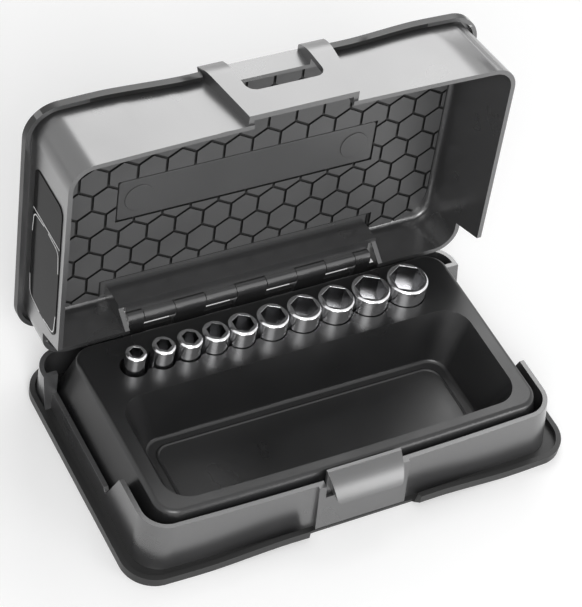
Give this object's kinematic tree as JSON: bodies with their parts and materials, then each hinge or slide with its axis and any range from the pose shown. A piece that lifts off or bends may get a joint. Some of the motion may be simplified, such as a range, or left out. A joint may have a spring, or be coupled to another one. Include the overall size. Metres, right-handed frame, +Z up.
{
  "type": "socket organizer case",
  "caption": "Hinged plastic carry case standing open, with a row of hexagon sockets in graded sizes and an open compartment in its tray, a lined lid and a sprung catch.",
  "frame": {"origin": "on the underside of the base, midway across its width and level with the middle of the base's depth between the wall corners", "axes": "+X to the right along the hinge, +Y from the catch to the hinge, +Z up"},
  "size_m": [0.2, 0.1374, 0.1389],
  "materials": {
    "shell": "satin black moulded plastic",
    "tray": "satin black thermoformed sheet",
    "liner": "matt black embossed lining",
    "panel": "satin black inlay",
    "label": "glossy black label",
    "pin": "plain steel wire",
    "socket": "polished chrome plate"
  },
  "bodies": {
    "base": {"base_shell": "shell", "hinge_pin": "pin", "tray_insert": "tray"},
    "lid": {"lid_shell": "shell", "lid_hex_liner": "liner", "lid_inlay_panel": "panel", "lid_disc_left": "panel", "lid_disc_right": "panel", "lid_side_label": "label"},
    "latch": {"latch_tongue": "shell"},
    "socket_5mm": {"socket_5mm": "socket"},
    "socket_5_5mm": {"socket_5_5mm": "socket"},
    "socket_6mm": {"socket_6mm": "socket"},
    "socket_7mm": {"socket_7mm": "socket"},
    "socket_8mm": {"socket_8mm": "socket"},
    "socket_9mm": {"socket_9mm": "socket"},
    "socket_10mm": {"socket_10mm": "socket"},
    "socket_11mm": {"socket_11mm": "socket"},
    "socket_12mm": {"socket_12mm": "socket"},
    "socket_13mm": {"socket_13mm": "socket"}
  },
  "joints": [
    {"name": "lid_hinge", "type": "hinge", "parent": "base", "child": "lid", "pos_m": [0, 0.0555, 0.0245], "axis": [-1, 0, 0], "range_deg": [-95, 0]},
    {"name": "latch_flex", "type": "hinge", "parent": "base", "child": "latch", "pos_m": [0, -0.0497, 0.004], "axis": [-1, 0, 0], "range_deg": [0, 3.5], "stiffness_Nm_per_rad": 1.2, "springref_deg": -1.72},
    {"name": "socket_5mm_lift", "type": "slide", "parent": "base", "child": "socket_5mm", "axis": [0, 0, 1], "range_m": [0, 0.03]},
    {"name": "socket_5_5mm_lift", "type": "slide", "parent": "base", "child": "socket_5_5mm", "axis": [0, 0, 1], "range_m": [0, 0.03]},
    {"name": "socket_6mm_lift", "type": "slide", "parent": "base", "child": "socket_6mm", "axis": [0, 0, 1], "range_m": [0, 0.03]},
    {"name": "socket_7mm_lift", "type": "slide", "parent": "base", "child": "socket_7mm", "axis": [0, 0, 1], "range_m": [0, 0.03]},
    {"name": "socket_8mm_lift", "type": "slide", "parent": "base", "child": "socket_8mm", "axis": [0, 0, 1], "range_m": [0, 0.03]},
    {"name": "socket_9mm_lift", "type": "slide", "parent": "base", "child": "socket_9mm", "axis": [0, 0, 1], "range_m": [0, 0.03]},
    {"name": "socket_10mm_lift", "type": "slide", "parent": "base", "child": "socket_10mm", "axis": [0, 0, 1], "range_m": [0, 0.03]},
    {"name": "socket_11mm_lift", "type": "slide", "parent": "base", "child": "socket_11mm", "axis": [0, 0, 1], "range_m": [0, 0.03]},
    {"name": "socket_12mm_lift", "type": "slide", "parent": "base", "child": "socket_12mm", "axis": [0, 0, 1], "range_m": [0, 0.03]},
    {"name": "socket_13mm_lift", "type": "slide", "parent": "base", "child": "socket_13mm", "axis": [0, 0, 1], "range_m": [0, 0.03]}
  ]
}
